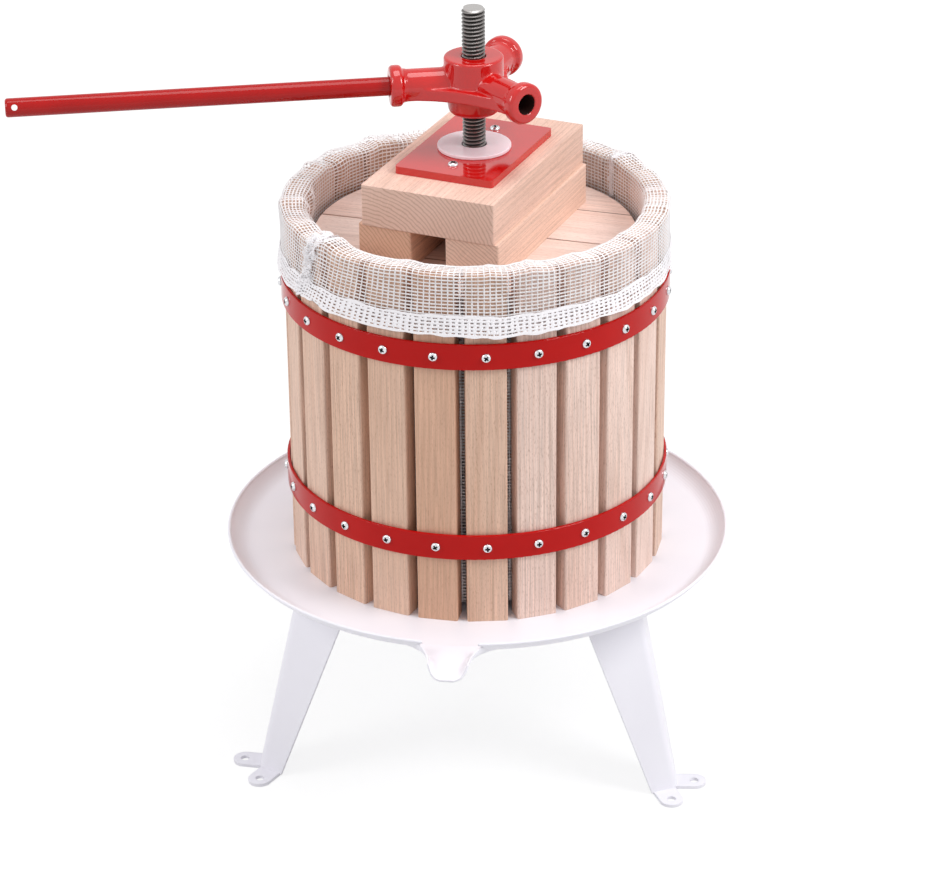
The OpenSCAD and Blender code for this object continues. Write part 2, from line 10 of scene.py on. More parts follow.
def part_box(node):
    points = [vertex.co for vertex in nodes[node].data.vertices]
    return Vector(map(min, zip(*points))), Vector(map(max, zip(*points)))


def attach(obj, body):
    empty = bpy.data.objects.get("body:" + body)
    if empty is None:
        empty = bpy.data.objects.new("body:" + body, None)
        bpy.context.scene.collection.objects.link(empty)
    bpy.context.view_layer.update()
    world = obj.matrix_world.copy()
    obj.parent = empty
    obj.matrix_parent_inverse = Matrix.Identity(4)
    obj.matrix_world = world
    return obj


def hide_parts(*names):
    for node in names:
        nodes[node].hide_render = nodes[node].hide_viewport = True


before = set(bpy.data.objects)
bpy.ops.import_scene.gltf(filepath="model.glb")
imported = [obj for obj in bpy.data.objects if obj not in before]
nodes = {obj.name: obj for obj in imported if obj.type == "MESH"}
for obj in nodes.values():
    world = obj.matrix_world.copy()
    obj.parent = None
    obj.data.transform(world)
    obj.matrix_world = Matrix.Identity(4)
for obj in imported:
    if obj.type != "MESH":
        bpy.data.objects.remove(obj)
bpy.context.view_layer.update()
scene = bpy.context.scene
scene.view_settings.view_transform = "Standard"
mm = 0.001
weld = 1e-6
print("frame:", len(nodes), "nodes")


def linear(code):
    # sRGB hex to the linear colour that shaders take
    parts = [int(code[i:i + 2], 16) / 255 for i in (1, 3, 5)]
    return [p / 12.92 if p <= 0.04045 else ((p + 0.055) / 1.055) ** 2.4 for p in parts] + [1.0]


def addNode(tree, kind, inputs=None, **settings):
    node = tree.nodes.new(kind)
    for name, value in settings.items():
        setattr(node, name, value)
    for socket, value in (inputs or {}).items():
        if isinstance(value, bpy.types.NodeSocket):
            tree.links.new(value, node.inputs[socket])
        else:
            node.inputs[socket].default_value = value
    return node


def startMaterial(name, surface):
    material = bpy.data.materials.new(name)
    material.use_nodes = True
    tree = material.node_tree
    tree.nodes.clear()
    shader = addNode(tree, "ShaderNodeBsdfPrincipled", surface)
    addNode(tree, "ShaderNodeOutputMaterial", {"Surface": shader.outputs[0]})
    return material, tree, shader


def feed(material, shader, sources):
    for socket, source in sources.items():
        material.node_tree.links.new(source, shader.inputs[socket])
    return material


def addPiece(name, mesh, material, body):
    piece = bpy.data.objects.new(name, mesh)
    scene.collection.objects.link(piece)
    mesh.materials.clear()
    mesh.materials.append(material)
    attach(piece, body)
    return piece


def dress(names, material):
    for name in names:
        nodes[name].data.materials.clear()
        nodes[name].data.materials.append(material)


def meshFrom(name, points, faces, smooth=True):
    mesh = bpy.data.meshes.new(name)
    mesh.from_pydata([tuple(p) for p in points], [], [tuple(f) for f in faces])
    mesh.update()
    mesh.polygons.foreach_set("use_smooth", [smooth] * len(mesh.polygons))
    return mesh


# The camera stands a little to the right of the spout and looks down on the press
cameraSpec = {
    "place": (0.2589, -2.3833, 1.4632),
    "pitch": 63.24, "yaw": 6.2, "roll": -0.5,
    "lens": 128.85, "sensor": 36, "shift": -0.01172,
}
camera = bpy.data.cameras.new("studioCamera")
camera.sensor_width = cameraSpec["sensor"]
camera.lens = cameraSpec["lens"]
camera.shift_x = cameraSpec["shift"]
cameraObject = bpy.data.objects.new("studioCamera", camera)
scene.collection.objects.link(cameraObject)
aim = (Matrix.Rotation(math.radians(cameraSpec["yaw"]), 4, "Z")
       @ Matrix.Rotation(math.radians(cameraSpec["pitch"]), 4, "X")
       @ Matrix.Rotation(math.radians(cameraSpec["roll"]), 4, "Z"))
cameraObject.matrix_world = Matrix.Translation(cameraSpec["place"]) @ aim
scene.camera = cameraObject

# White studio: even ambient light, a strong softbox on the right, one above and a weaker one on the left
studio = {
    "ambient": 0.53, "ambientTint": "#FEFDFF",
    "floor": "#D8D8D8", "floorReach": 9, "floorWhite": 0.62, "floorGlow": 1.27, "fadeFrom": 0.9, "fadeTo": 2.6,
    "lamps": [
        ("keySoftbox", (1.65, -0.55, 1.8), (0, 0, 0.4), 0.9, 27),
        ("topSoftbox", (0.1, 0.1, 2.5), (0, 0, 0.4), 1.1, 14),
        ("fillSoftbox", (-1.7, -0.8, 1.5), (0, 0, 0.4), 0.9, 16),
    ],
}


def seenPlainly(tree):
    # 1 for what the camera sees itself, in a reflection or through a clear thing, and 0 for light on the press
    path = addNode(tree, "ShaderNodeLightPath")
    seen = addNode(tree, "ShaderNodeMath", {0: path.outputs["Is Camera Ray"], 1: path.outputs["Is Glossy Ray"]},
                   operation="MAXIMUM")
    seen = addNode(tree, "ShaderNodeMath", {0: seen.outputs[0], 1: path.outputs["Is Transmission Ray"]},
                   operation="MAXIMUM")
    return seen.outputs[0]


world = bpy.data.worlds.new("studioWhite")
scene.world = world
world.use_nodes = True
tree = world.node_tree
tree.nodes.clear()
dim = addNode(tree, "ShaderNodeBackground", {"Color": linear(studio["ambientTint"]), "Strength": studio["ambient"]})
white = addNode(tree, "ShaderNodeBackground", {"Color": (1, 1, 1, 1), "Strength": 1.0})
mixed = addNode(tree, "ShaderNodeMixShader", {0: seenPlainly(tree), 1: dim.outputs[0], 2: white.outputs[0]})
addNode(tree, "ShaderNodeOutputWorld", {"Surface": mixed.outputs[0]})

reach = studio["floorReach"]
floorMesh = meshFrom("studioFloor", [(-reach, -reach, 0), (reach, -reach, 0), (reach, reach, 0), (-reach, reach, 0)],
                     [(0, 1, 2, 3)], False)
floor = bpy.data.objects.new("studioFloor", floorMesh)
scene.collection.objects.link(floor)
floorPaper = bpy.data.materials.new("whitePaper")  # matt paper sweep that reads as white and keeps a shadow
floorPaper.use_nodes = True
tree = floorPaper.node_tree
tree.nodes.clear()
# far from the press the floor fades to plain white, so that no horizon shows
place = addNode(tree, "ShaderNodeTexCoord")
away = addNode(tree, "ShaderNodeVectorMath", {0: place.outputs["Object"]}, operation="LENGTH")
fade = addNode(tree, "ShaderNodeMapRange", {"Value": away.outputs["Value"], "From Min": studio["fadeFrom"],
                                            "From Max": studio["fadeTo"], "To Min": studio["floorWhite"],
                                            "To Max": 1.0})
share = addNode(tree, "ShaderNodeMath", {0: seenPlainly(tree), 1: fade.outputs[0]}, operation="MULTIPLY")
matt = addNode(tree, "ShaderNodeBsdfDiffuse", {"Color": linear(studio["floor"])})
glow = addNode(tree, "ShaderNodeEmission", {"Color": (1, 1, 1, 1), "Strength": studio["floorGlow"]})
mixed = addNode(tree, "ShaderNodeMixShader", {0: share.outputs[0], 1: matt.outputs[0], 2: glow.outputs[0]})
addNode(tree, "ShaderNodeOutputMaterial", {"Surface": mixed.outputs[0]})
floorMesh.materials.append(floorPaper)
for name, place, target, size, power in studio["lamps"]:
    lamp = bpy.data.lights.new(name, "AREA")
    lamp.shape = "SQUARE"
    lamp.size = size
    lamp.energy = power
    lampObject = bpy.data.objects.new(name, lamp)
    scene.collection.objects.link(lampObject)
    lampObject.location = place
    lampObject.rotation_euler = (Vector(target) - Vector(place)).to_track_quat("-Z", "Y").to_euler()
print("camera, floor and lamps")


# Powder coat: baked white powder on sheet steel. It gives a soft satin sheen and a faint orange peel.
def powderCoat():
    material, tree, shader = startMaterial("whitePowderCoat", {
        "Base Color": linear("#F6F5F8"), "Roughness": 0.36, "IOR": 1.5})
    place = addNode(tree, "ShaderNodeTexCoord").outputs["Object"]
    peel = addNode(tree, "ShaderNodeTexNoise", {"Vector": place, "Scale": 1 / (2.2 * mm), "Detail": 2.0})
    cloud = addNode(tree, "ShaderNodeTexNoise", {"Vector": place, "Scale": 1 / (70 * mm), "Detail": 3.0})
    tone = addNode(tree, "ShaderNodeMix", {0: cloud.outputs["Fac"], 6: linear("#F0EEF6"), 7: linear("#F8F7FD")},
                   data_type="RGBA")
    dull = addNode(tree, "ShaderNodeMapRange", {"Value": cloud.outputs["Fac"], "To Min": 0.30, "To Max": 0.42})
    edge = addNode(tree, "ShaderNodeBevel", {"Radius": 0.8 * mm}, samples=4)
    bump = addNode(tree, "ShaderNodeBump", {"Height": peel.outputs["Fac"], "Strength": 0.12, "Distance": 0.12 * mm,
                                            "Normal": edge.outputs[0]})
    return feed(material, shader, {"Base Color": tone.outputs[2], "Roughness": dull.outputs[0],
                                   "Normal": bump.outputs[0]})


# Enamel: thick red gloss paint. It gives a clear highlight along edges and a pale sheen at a low angle.
def redEnamel(name, dark, light, peelSize, peelDepth, edgeRound, gloss, coatIor):
    material, tree, shader = startMaterial(name, {
        "Base Color": linear(light), "Roughness": 0.3, "Specular IOR Level": 0.0,
        "Coat Weight": gloss, "Coat Roughness": 0.06, "Coat IOR": coatIor})
    place = addNode(tree, "ShaderNodeTexCoord").outputs["Object"]
    peel = addNode(tree, "ShaderNodeTexNoise", {"Vector": place, "Scale": 1 / peelSize, "Detail": 2.0})
    cloud = addNode(tree, "ShaderNodeTexNoise", {"Vector": place, "Scale": 1 / (28 * mm), "Detail": 4.0})
    tone = addNode(tree, "ShaderNodeMix", {0: cloud.outputs["Fac"], 6: linear(dark), 7: linear(light)},
                   data_type="RGBA")
    dull = addNode(tree, "ShaderNodeMapRange", {"Value": cloud.outputs["Fac"], "To Min": 0.24, "To Max": 0.36})
    edge = addNode(tree, "ShaderNodeBevel", {"Radius": edgeRound}, samples=4)
    bump = addNode(tree, "ShaderNodeBump", {"Height": peel.outputs["Fac"], "Strength": 0.25, "Distance": peelDepth,
                                            "Normal": edge.outputs[0]})
    return feed(material, shader, {"Base Color": tone.outputs[2], "Roughness": dull.outputs[0],
                                   "Normal": bump.outputs[0]})


# Socket bore: painted shade inside the drilled bore of a socket. Almost black, with a dull brown cast.
def boreShade():
    material, tree, shader = startMaterial("socketBorePaintedShade", {
        "Base Color": linear("#3A2623"), "Metallic": 0.6, "Roughness": 0.6})
    place = addNode(tree, "ShaderNodeTexCoord").outputs["Object"]
    speckle = addNode(tree, "ShaderNodeTexNoise", {"Vector": place, "Scale": 1 / (2 * mm), "Detail": 4.0})
    tone = addNode(tree, "ShaderNodeMix", {0: speckle.outputs["Fac"], 6: linear("#2A1614"), 7: linear("#54302B")},
                   data_type="RGBA")
    bump = addNode(tree, "ShaderNodeBump", {"Height": speckle.outputs["Fac"], "Strength": 0.3, "Distance": 0.1 * mm})
    return feed(material, shader, {"Base Color": tone.outputs[2], "Normal": bump.outputs[0]})


# Zinc plate: bright passivated plating on pressed steel. It gives small sharp glints and a faint grey cloud.
def zincPlate(name, dark, light):
    material, tree, shader = startMaterial(name, {
        "Base Color": linear(light), "Metallic": 1.0, "Roughness": 0.22})
    place = addNode(tree, "ShaderNodeTexCoord").outputs["Object"]
    cloud = addNode(tree, "ShaderNodeTexNoise", {"Vector": place, "Scale": 1 / (3 * mm), "Detail": 4.0})
    tone = addNode(tree, "ShaderNodeMix", {0: cloud.outputs["Fac"], 6: linear(dark), 7: linear(light)},
                   data_type="RGBA")
    dull = addNode(tree, "ShaderNodeMapRange", {"Value": cloud.outputs["Fac"], "To Min": 0.15, "To Max": 0.32})
    edge = addNode(tree, "ShaderNodeBevel", {"Radius": 0.3 * mm}, samples=4)
    return feed(material, shader, {"Base Color": tone.outputs[2], "Roughness": dull.outputs[0],
                                   "Normal": edge.outputs[0]})


# Rolled thread: bare steel with a film of oil. Shade is painted into the roots, which are dark, while the crests and
# the cut end are bright.
def rolledThread(rootRadius, crestRadius, cutHeight):
    material, tree, shader = startMaterial("rolledThreadSteel", {
        "Base Color": linear("#8E8A86"), "Metallic": 1.0, "Roughness": 0.32})
    place = addNode(tree, "ShaderNodeTexCoord").outputs["Object"]
    flat = addNode(tree, "ShaderNodeVectorMath", {0: place, 1: (1, 1, 0)}, operation="MULTIPLY")
    reach = addNode(tree, "ShaderNodeVectorMath", {0: flat.outputs[0]}, operation="LENGTH")
    height = addNode(tree, "ShaderNodeMapRange", {"Value": reach.outputs["Value"], "From Min": rootRadius,
                                                  "From Max": crestRadius})
    smear = addNode(tree, "ShaderNodeTexNoise", {"Vector": place, "Scale": 1 / (4 * mm), "Detail": 5.0})
    worn = addNode(tree, "ShaderNodeMath", {0: height.outputs[0], 1: smear.outputs["Fac"]}, operation="MULTIPLY")
    # painted shade: dark at the roots, light at the crests
    tone = addNode(tree, "ShaderNodeMix", {0: height.outputs[0], 6: linear("#2E2C2B"), 7: linear("#918D8B")},
                   data_type="RGBA")
    apart = addNode(tree, "ShaderNodeSeparateXYZ", {0: place})
    cut = addNode(tree, "ShaderNodeMapRange", {"Value": apart.outputs["Z"], "From Min": cutHeight - 0.4 * mm,
                                               "From Max": cutHeight})
    tone = addNode(tree, "ShaderNodeMix", {0: cut.outputs[0], 6: tone.outputs[2], 7: linear("#B9B6B4")},
                   data_type="RGBA")
    dull = addNode(tree, "ShaderNodeMapRange", {"Value": worn.outputs[0], "To Min": 0.42, "To Max": 0.14})
    return feed(material, shader, {"Base Color": tone.outputs[2], "Roughness": dull.outputs[0]})


# Nylon: a washer turned from milky rod. Light sinks in a little, and fine turning rings show on the face.
def milkyNylon():
    # painted reflection: the pink in these colours stands in for light from the red plate under the washer
    material, tree, shader = startMaterial("milkyNylon", {
        "Base Color": linear("#EFD8DF"), "Roughness": 0.34, "IOR": 1.53,
        "Subsurface Weight": 0.35, "Subsurface Radius": (4 * mm, 3 * mm, 3 * mm), "Subsurface Scale": 1.0})
    place = addNode(tree, "ShaderNodeTexCoord").outputs["Object"]
    flat = addNode(tree, "ShaderNodeVectorMath", {0: place, 1: (1, 1, 0)}, operation="MULTIPLY")
    reach = addNode(tree, "ShaderNodeVectorMath", {0: flat.outputs[0]}, operation="LENGTH")
    ringStep = addNode(tree, "ShaderNodeMath", {0: reach.outputs["Value"], 1: 2 * math.pi / (1.6 * mm)},
                       operation="MULTIPLY")  # turning marks, drawn coarser than the real 0.2 mm so that they show
    rings = addNode(tree, "ShaderNodeMath", {0: ringStep.outputs[0]}, operation="SINE")
    cloud = addNode(tree, "ShaderNodeTexNoise", {"Vector": place, "Scale": 1 / (14 * mm), "Detail": 3.0})
    tone = addNode(tree, "ShaderNodeMix", {0: cloud.outputs["Fac"], 6: linear("#F3D9E0"), 7: linear("#FAEBEF")},
                   data_type="RGBA")
    bump = addNode(tree, "ShaderNodeBump", {"Height": rings.outputs[0], "Strength": 0.1, "Distance": 0.05 * mm})
    return feed(material, shader, {"Base Color": tone.outputs[2], "Normal": bump.outputs[0]})


# Polyester net: white knitted filter cloth. Soft and matt, with a faint grey in the yarn.
def polyesterNet(name, pale, shade):
    material, tree, shader = startMaterial(name, {
        "Base Color": linear(pale), "Roughness": 0.62, "Sheen Weight": 0.3, "Sheen Roughness": 0.5})
    place = addNode(tree, "ShaderNodeTexCoord").outputs["Object"]
    yarn = addNode(tree, "ShaderNodeTexNoise", {"Vector": place, "Scale": 1 / (0.9 * mm), "Detail": 3.0})
    tone = addNode(tree, "ShaderNodeMix", {0: yarn.outputs["Fac"], 6: linear(shade), 7: linear(pale)},
                   data_type="RGBA")
    bump = addNode(tree, "ShaderNodeBump", {"Height": yarn.outputs["Fac"], "Strength": 0.4, "Distance": 0.15 * mm})
    return feed(material, shader, {"Base Color": tone.outputs[2], "Normal": bump.outputs[0]})


# Beech: steamed, planed and sanded. Pinkish tan, with fine late-wood lines, short brown flecks along the grain
# and arcs with thin rays on the cut ends.
beechLook = {
    "ringWander": 9.0 * mm, "ringWaver": 3.4 * mm,
    # waves to a metre: some 71 mm across the grain and 450 mm along it, then 8 and 110 mm
    "wanderScale": (14, 14, 2.2), "waverScale": (130, 130, 9),
    "fleckLength": 3.2 * mm, "fleckWidth": 0.6 * mm,
    # fibres and rays are far finer in real beech, and are drawn this coarse so that they show
    "fibreLength": 55 * mm, "fibreWidth": 1.1 * mm, "rayWidth": 1.4 * mm, "rayLength": 18 * mm,
    "edgeRound": 0.9 * mm, "seamEdge": (0.35 * mm, 0.9 * mm), "plankShift": (0.031, 0.0173, 0.41),
    # where late wood, flecks and cut ends begin and are full, and the middle range of a noise
    "lateSpan": (0.2, 0.5), "fleckSpan": (0.55, 0.78), "endSpan": (0.75, 0.9), "noiseSpan": (0.3, 0.7),
    "lateColour": "#AC7D60", "fleckColour": "#9E6E52", "seamColour": "#7A5340",
    # how much late wood shows along the grain and on a cut end, then flecks, fibre shade and ray shade
    "lateAlong": 0.2, "lateEnd": 0.46, "fleckShare": 0.45, "fibreDark": 0.18, "fibreLight": 0.13,
    "rayShade": (0.84, 0.96),
}


def beech(name, turn, pith, pale, deep, ringWidth, contrast=1.0, plankWidth=0.0):
    look = beechLook
    material, tree, shader = startMaterial(name, {"Base Color": linear(pale), "Roughness": 0.55, "IOR": 1.5})
    place = addNode(tree, "ShaderNodeTexCoord")
    # grain along Z, with the pith of the log at the origin
    local = addNode(tree, "ShaderNodeMapping", {"Vector": place.outputs["Object"], "Rotation": turn.to_euler(),
                                                "Location": (-pith[0], -pith[1], 0)}).outputs[0]
    seam = None
    if plankWidth:
        apart = addNode(tree, "ShaderNodeSeparateXYZ", {0: local})
        across = addNode(tree, "ShaderNodeMath", {0: apart.outputs["X"], 1: pith[0]}, operation="ADD")
        count = addNode(tree, "ShaderNodeMath", {0: across.outputs[0], 1: 1 / plankWidth}, operation="MULTIPLY")
        plank = addNode(tree, "ShaderNodeMath", {0: count.outputs[0]}, operation="FLOOR")
        shift = addNode(tree, "ShaderNodeVectorMath", {0: look["plankShift"], "Scale": plank.outputs[0]},
                        operation="SCALE")
        local = addNode(tree, "ShaderNodeVectorMath", {0: local, 1: shift.outputs[0]}, operation="ADD").outputs[0]
        near = addNode(tree, "ShaderNodeMath", {0: count.outputs[0], 1: 1.0}, operation="PINGPONG")
        far = addNode(tree, "ShaderNodeMath", {0: 1.0, 1: near.outputs[0]}, operation="SUBTRACT")
        close = addNode(tree, "ShaderNodeMath", {0: near.outputs[0], 1: far.outputs[0]}, operation="MINIMUM")
        seamFrom, seamTo = (width / plankWidth for width in look["seamEdge"])
        seam = addNode(tree, "ShaderNodeMapRange", {"Value": close.outputs[0], "From Min": seamFrom,
                                                    "From Max": seamTo, "To Min": 1.0, "To Max": 0.0})
    slow = addNode(tree, "ShaderNodeVectorMath", {0: local, 1: look["wanderScale"]}, operation="MULTIPLY")
    wander = addNode(tree, "ShaderNodeTexNoise", {"Vector": slow.outputs[0], "Scale": 1.0, "Detail": 3.0})
    quick = addNode(tree, "ShaderNodeVectorMath", {0: local, 1: look["waverScale"]}, operation="MULTIPLY")
    waver = addNode(tree, "ShaderNodeTexNoise", {"Vector": quick.outputs[0], "Scale": 1.0, "Detail": 2.0})
    drift = addNode(tree, "ShaderNodeMath", {0: wander.outputs["Fac"], 1: look["ringWander"]}, operation="MULTIPLY")
    drift = addNode(tree, "ShaderNodeMath", {0: waver.outputs["Fac"], 1: look["ringWaver"], 2: drift.outputs[0]},
                    operation="MULTIPLY_ADD")
    flat = addNode(tree, "ShaderNodeVectorMath", {0: local, 1: (1, 1, 0)}, operation="MULTIPLY")
    reach = addNode(tree, "ShaderNodeVectorMath", {0: flat.outputs[0]}, operation="LENGTH")
    year = addNode(tree, "ShaderNodeMath", {0: reach.outputs["Value"], 1: drift.outputs[0]}, operation="ADD")
    year = addNode(tree, "ShaderNodeMath", {0: year.outputs[0], 1: 1 / ringWidth}, operation="MULTIPLY")
    grown = addNode(tree, "ShaderNodeMath", {0: year.outputs[0], 1: 0.5}, operation="PINGPONG")
    start, full = look["lateSpan"]
    late = addNode(tree, "ShaderNodeMapRange", {"Value": grown.outputs[0], "From Min": start, "From Max": full},
                   interpolation_type="SMOOTHSTEP")
    # short flecks and long fibres, both stretched along the grain
    fleckScale = (1 / look["fleckWidth"], 1 / look["fleckWidth"], 1 / look["fleckLength"])
    fleckPlace = addNode(tree, "ShaderNodeVectorMath", {0: local, 1: fleckScale}, operation="MULTIPLY")
    fleckNoise = addNode(tree, "ShaderNodeTexNoise", {"Vector": fleckPlace.outputs[0], "Scale": 1.0, "Detail": 1.0})
    start, full = look["fleckSpan"]
    fleck = addNode(tree, "ShaderNodeMapRange",
                    {"Value": fleckNoise.outputs["Fac"], "From Min": start, "From Max": full})
    fibreScale = (1 / look["fibreWidth"], 1 / look["fibreWidth"], 1 / look["fibreLength"])
    fibrePlace = addNode(tree, "ShaderNodeVectorMath", {0: local, 1: fibreScale}, operation="MULTIPLY")
    fibre = addNode(tree, "ShaderNodeTexNoise", {"Vector": fibrePlace.outputs[0], "Scale": 1.0, "Detail": 3.0})
    # rays run out from the pith and show on the cut ends only
    apart = addNode(tree, "ShaderNodeSeparateXYZ", {0: local})
    bearing = addNode(tree, "ShaderNodeMath", {0: apart.outputs["Y"], 1: apart.outputs["X"]}, operation="ARCTAN2")
    pithReach = math.hypot(*pith)
    rayTurn = addNode(tree, "ShaderNodeMath", {0: bearing.outputs[0], 1: pithReach / look["rayWidth"]},
                      operation="MULTIPLY")
    rayRun = addNode(tree, "ShaderNodeMath", {0: reach.outputs["Value"], 1: 1 / look["rayLength"]},
                     operation="MULTIPLY")
    rayPlace = addNode(tree, "ShaderNodeCombineXYZ", {0: rayTurn.outputs[0], 1: rayRun.outputs[0]})
    ray = addNode(tree, "ShaderNodeTexNoise", {"Vector": rayPlace.outputs[0], "Scale": 1.0, "Detail": 2.0})
    facing = addNode(tree, "ShaderNodeMapping", {"Vector": place.outputs["Normal"], "Rotation": turn.to_euler()},
                     vector_type="VECTOR")
    facingZ = addNode(tree, "ShaderNodeSeparateXYZ", {0: facing.outputs[0]})
    square = addNode(tree, "ShaderNodeMath", {0: facingZ.outputs["Z"]}, operation="ABSOLUTE")
    start, full = look["endSpan"]
    endGrain = addNode(tree, "ShaderNodeMapRange", {"Value": square.outputs[0], "From Min": start, "From Max": full})
    # colour
    low, high = look["noiseSpan"]
    cloud = addNode(tree, "ShaderNodeMapRange", {"Value": wander.outputs["Fac"], "From Min": low, "From Max": high})
    base = addNode(tree, "ShaderNodeMix", {0: cloud.outputs[0], 6: linear(pale), 7: linear(deep)}, data_type="RGBA")
    lateMost = addNode(tree, "ShaderNodeMapRange", {"Value": endGrain.outputs[0], "To Max": look["lateEnd"],
                                                    "To Min": look["lateAlong"] * contrast})
    lateShare = addNode(tree, "ShaderNodeMath", {0: late.outputs[0], 1: lateMost.outputs[0]}, operation="MULTIPLY")
    ringed = addNode(tree, "ShaderNodeMix",
                     {0: lateShare.outputs[0], 6: base.outputs[2], 7: linear(look["lateColour"])},
                     data_type="RGBA")
    fleckShare = addNode(tree, "ShaderNodeMath", {0: fleck.outputs[0], 1: look["fleckShare"] * contrast},
                         operation="MULTIPLY")
    flecked = addNode(tree, "ShaderNodeMix",
                      {0: fleckShare.outputs[0], 6: ringed.outputs[2], 7: linear(look["fleckColour"])},
                      data_type="RGBA")
    fibreShade = addNode(tree, "ShaderNodeMapRange", {"Value": fibre.outputs["Fac"],
                                                      "From Min": low, "From Max": high,
                                                      "To Min": 1 - look["fibreDark"] * contrast,
                                                      "To Max": 1 + look["fibreLight"] * contrast})
    fibred = addNode(tree, "ShaderNodeVectorMath", {0: flecked.outputs[2], "Scale": fibreShade.outputs[0]},
                     operation="SCALE")
    rayShade = addNode(tree, "ShaderNodeMapRange", {"Value": ray.outputs["Fac"], "From Min": low, "From Max": high,
                                                    "To Min": look["rayShade"][0], "To Max": look["rayShade"][1]})
    cutEnd = addNode(tree, "ShaderNodeVectorMath", {0: ringed.outputs[2], "Scale": rayShade.outputs[0]},
                     operation="SCALE")
    toned = addNode(tree, "ShaderNodeMix", {0: endGrain.outputs[0], 6: fibred.outputs[0], 7: cutEnd.outputs[0]},
                    data_type="RGBA")
    final = toned.outputs[2]
    if seam:
        final = addNode(tree, "ShaderNodeMix", {0: seam.outputs[0], 6: final, 7: linear(look["seamColour"])},
                        data_type="RGBA").outputs[2]
    dull = addNode(tree, "ShaderNodeMapRange", {"Value": fibre.outputs["Fac"], "To Min": 0.48, "To Max": 0.66})
    edge = addNode(tree, "ShaderNodeBevel", {"Radius": look["edgeRound"]}, samples=4)
    relief = addNode(tree, "ShaderNodeMath", {0: fibre.outputs["Fac"], 1: fleck.outputs[0]}, operation="SUBTRACT")
    bump = addNode(tree, "ShaderNodeBump", {"Height": relief.outputs[0], "Strength": 0.18, "Distance": 0.2 * mm,
                                            "Normal": edge.outputs[0]})
    return feed(material, shader, {"Base Color": final, "Roughness": dull.outputs[0], "Normal": bump.outputs[0]})


def turnZ(degrees):
    return Matrix.Rotation(math.radians(degrees), 3, "Z")


coat = powderCoat()
bandEnamel = redEnamel("redBandEnamel", "#B20806", "#C20D0A", 2.4 * mm, 0.10 * mm, 0.6 * mm, 1.0, 1.25)
plateEnamel = redEnamel("redPlateEnamel", "#BC0A09", "#CC100E", 2.8 * mm, 0.14 * mm, 0.8 * mm, 1.0, 1.75)
castEnamel = redEnamel("redCastEnamel", "#BC0A08", "#CC100D", 3.5 * mm, 0.18 * mm, 0.6 * mm, 1.0, 1.6)
barEnamel = redEnamel("redBarEnamel", "#A20706", "#B20B09", 3.0 * mm, 0.06 * mm, 0.4 * mm, 0.8, 1.4)
zinc = zincPlate("zincPlatedSteel", "#B4B4B8", "#D6D6DA")
headZinc = zincPlate("zincScrewHead", "#C6C6CA", "#ECECEE")
recessShadeZinc = zincPlate("zincRecessPaintedShade", "#1A1A1D", "#303034")  # painted shade: near-black zinc in the cross recess, where shade falls
nylon = milkyNylon()
netWhite = polyesterNet("polyesterNet", "#FBF8F8", "#EFEAEB")
# painted light: a paler copy of the net colour, so that the hem and the seams read brighter
brightenedNet = polyesterNet("polyesterNetBrightened", "#FEFCFE", "#F6F3F7")
dress(["juice_tray", "leg_front_left", "leg_front_right", "leg_rear"], coat)
dress(["lower_hoop", "upper_hoop"], bandEnamel)
dress(["pressure_plate"], plateEnamel)
dress(["handle_bar"], barEnamel)
dress(["leg_bolts", "leg_nuts"], zinc)
dress(["spindle_base_washer", "spindle_base_nut", "spindle_top_washer", "spindle_top_nut"], zinc)
dress(["slip_washer"], nylon)
print("metal, paint and nylon")

# Each stave is cut from its own place in a log, so rings, tone and flecks differ from stave to stave
staveNames = sorted(n for n in nodes if n.startswith("stave_"))
staveAngles = {}
draw = random.Random(11)
# lean in degrees, reach of the stave in metres, far pith and ring width in mm
staveCut = {"lean": 1.4, "reach": 0.14, "pithFar": (28, 120), "ring": (2.6, 4.6), "contrast": (0.75, 1.25)}
paleTones = ["#E6C4AE", "#EBCDBB", "#DDB49A", "#F1D8CC"]
deepTones = ["#D8B096", "#DFBBA5", "#CDA083", "#E7C6B6"]
tonePicks = [0, 3, 3, 3, 3, 1, 3, 1, 0, 1, 2, 0, 1, 3, 0, 2, 1, 0, 1, 1, 1, 0, 0, 2]
for name, pick in zip(staveNames, tonePicks):
    points = np.array([v.co for v in nodes[name].data.vertices])
    angle = math.atan2(points[:, 1].mean(), points[:, 0].mean())
    staveAngles[name] = angle
    lean = Matrix.Rotation(math.radians(draw.uniform(-staveCut["lean"], staveCut["lean"])), 3, "Y")
    around = math.radians(draw.uniform(0, 360))
    far = draw.uniform(*staveCut["pithFar"]) * mm
    pith = (staveCut["reach"] + far * math.cos(around), far * math.sin(around))
    ring = draw.uniform(*staveCut["ring"]) * mm
    strength = draw.uniform(*staveCut["contrast"])
    dress([name], beech("beech_" + name, lean @ turnZ(-math.degrees(angle)), pith, paleTones[pick], deepTones[pick],
                        ring, strength))

# The beams and block lie with the grain along the stack's own Y, the boards with it along the split
stackSpec = {"turn": -17.5, "boardTurn": -10.5, "plankWidth": 62 * mm}
stackTurn = Matrix.Rotation(math.radians(90), 3, "X") @ turnZ(-stackSpec["turn"])
boardTurn = Matrix.Rotation(math.radians(90), 3, "X") @ turnZ(90) @ turnZ(-stackSpec["boardTurn"])
